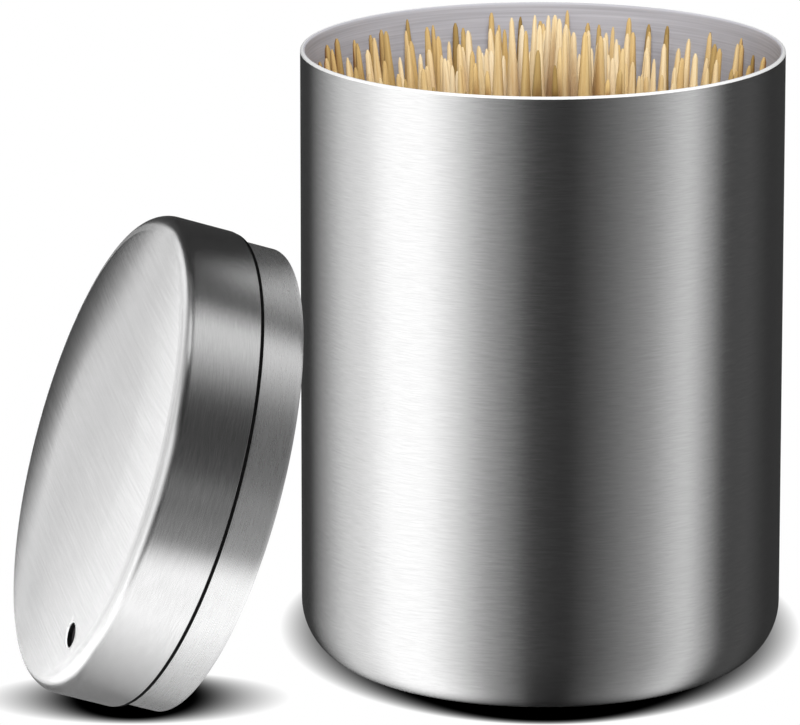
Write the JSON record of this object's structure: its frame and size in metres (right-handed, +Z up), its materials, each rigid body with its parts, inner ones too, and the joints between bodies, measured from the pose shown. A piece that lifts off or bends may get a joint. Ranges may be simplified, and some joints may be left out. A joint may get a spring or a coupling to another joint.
{
  "type": "toothpick dispenser",
  "caption": "Round brushed-steel toothpick canister, open and full, with its shallow cap stood on edge beside it; a small hole near the cap's rim lets the toothpicks out.",
  "frame": {"origin": "centre of the canister's flat base, on the table", "axes": "+Z up along the canister's axis; -Y is the side the picture is taken from, and the lid stands on the -X side, turned towards -Y"},
  "size_m": [0.0813, 0.0687, 0.072],
  "materials": {
    "steel": "fine brushed grain",
    "seal": "matte",
    "wood": "raw pale wood"
  },
  "bodies": {
    "canister": {"canister": "steel"},
    "lid": {"lid_cap": "steel", "lid_seal": "seal", "lid_sleeve": "steel"},
    "toothpicks": {"toothpicks_middle": "wood", "toothpicks_outer_1": "wood", "toothpicks_outer_2": "wood", "toothpicks_outer_3": "wood", "toothpicks_outer_4": "wood", "toothpicks_outer_5": "wood", "toothpicks_outer_6": "wood", "toothpicks_outer_7": "wood", "toothpicks_outer_8": "wood"},
    "toothpick_1": {"toothpick_1": "wood"},
    "toothpick_2": {"toothpick_2": "wood"},
    "toothpick_3": {"toothpick_3": "wood"},
    "toothpick_4": {"toothpick_4": "wood"},
    "toothpick_5": {"toothpick_5": "wood"},
    "toothpick_6": {"toothpick_6": "wood"},
    "toothpick_7": {"toothpick_7": "wood"},
    "toothpick_8": {"toothpick_8": "wood"}
  },
  "joints": [
    {"name": "lid_lift", "type": "slide", "parent": "canister", "child": "lid", "axis": [0, 0, 1], "range_m": [0, 0.08]},
    {"name": "toothpicks_lift", "type": "slide", "parent": "canister", "child": "toothpicks", "axis": [0, 0, 1], "range_m": [0, 0.07]},
    {"name": "toothpick_1_draw", "type": "slide", "parent": "toothpicks", "child": "toothpick_1", "axis": [0.0141, -0.0393, 0.9991], "range_m": [0, 0.07]},
    {"name": "toothpick_2_draw", "type": "slide", "parent": "toothpicks", "child": "toothpick_2", "axis": [0.0171, -0.0651, 0.9977], "range_m": [0, 0.07]},
    {"name": "toothpick_3_draw", "type": "slide", "parent": "toothpicks", "child": "toothpick_3", "axis": [0.0128, -0.0506, 0.9986], "range_m": [0, 0.07]},
    {"name": "toothpick_4_draw", "type": "slide", "parent": "toothpicks", "child": "toothpick_4", "axis": [0.0029, -0.0747, 0.9972], "range_m": [0, 0.07]},
    {"name": "toothpick_5_draw", "type": "slide", "parent": "toothpicks", "child": "toothpick_5", "axis": [0.015, -0.0802, 0.9967], "range_m": [0, 0.07]},
    {"name": "toothpick_6_draw", "type": "slide", "parent": "toothpicks", "child": "toothpick_6", "axis": [0.0003, -0.0866, 0.9962], "range_m": [0, 0.07]},
    {"name": "toothpick_7_draw", "type": "slide", "parent": "toothpicks", "child": "toothpick_7", "axis": [0.0183, -0.0707, 0.9973], "range_m": [0, 0.07]},
    {"name": "toothpick_8_draw", "type": "slide", "parent": "toothpicks", "child": "toothpick_8", "axis": [0.0199, -0.1147, 0.9932], "range_m": [0, 0.07]}
  ]
}
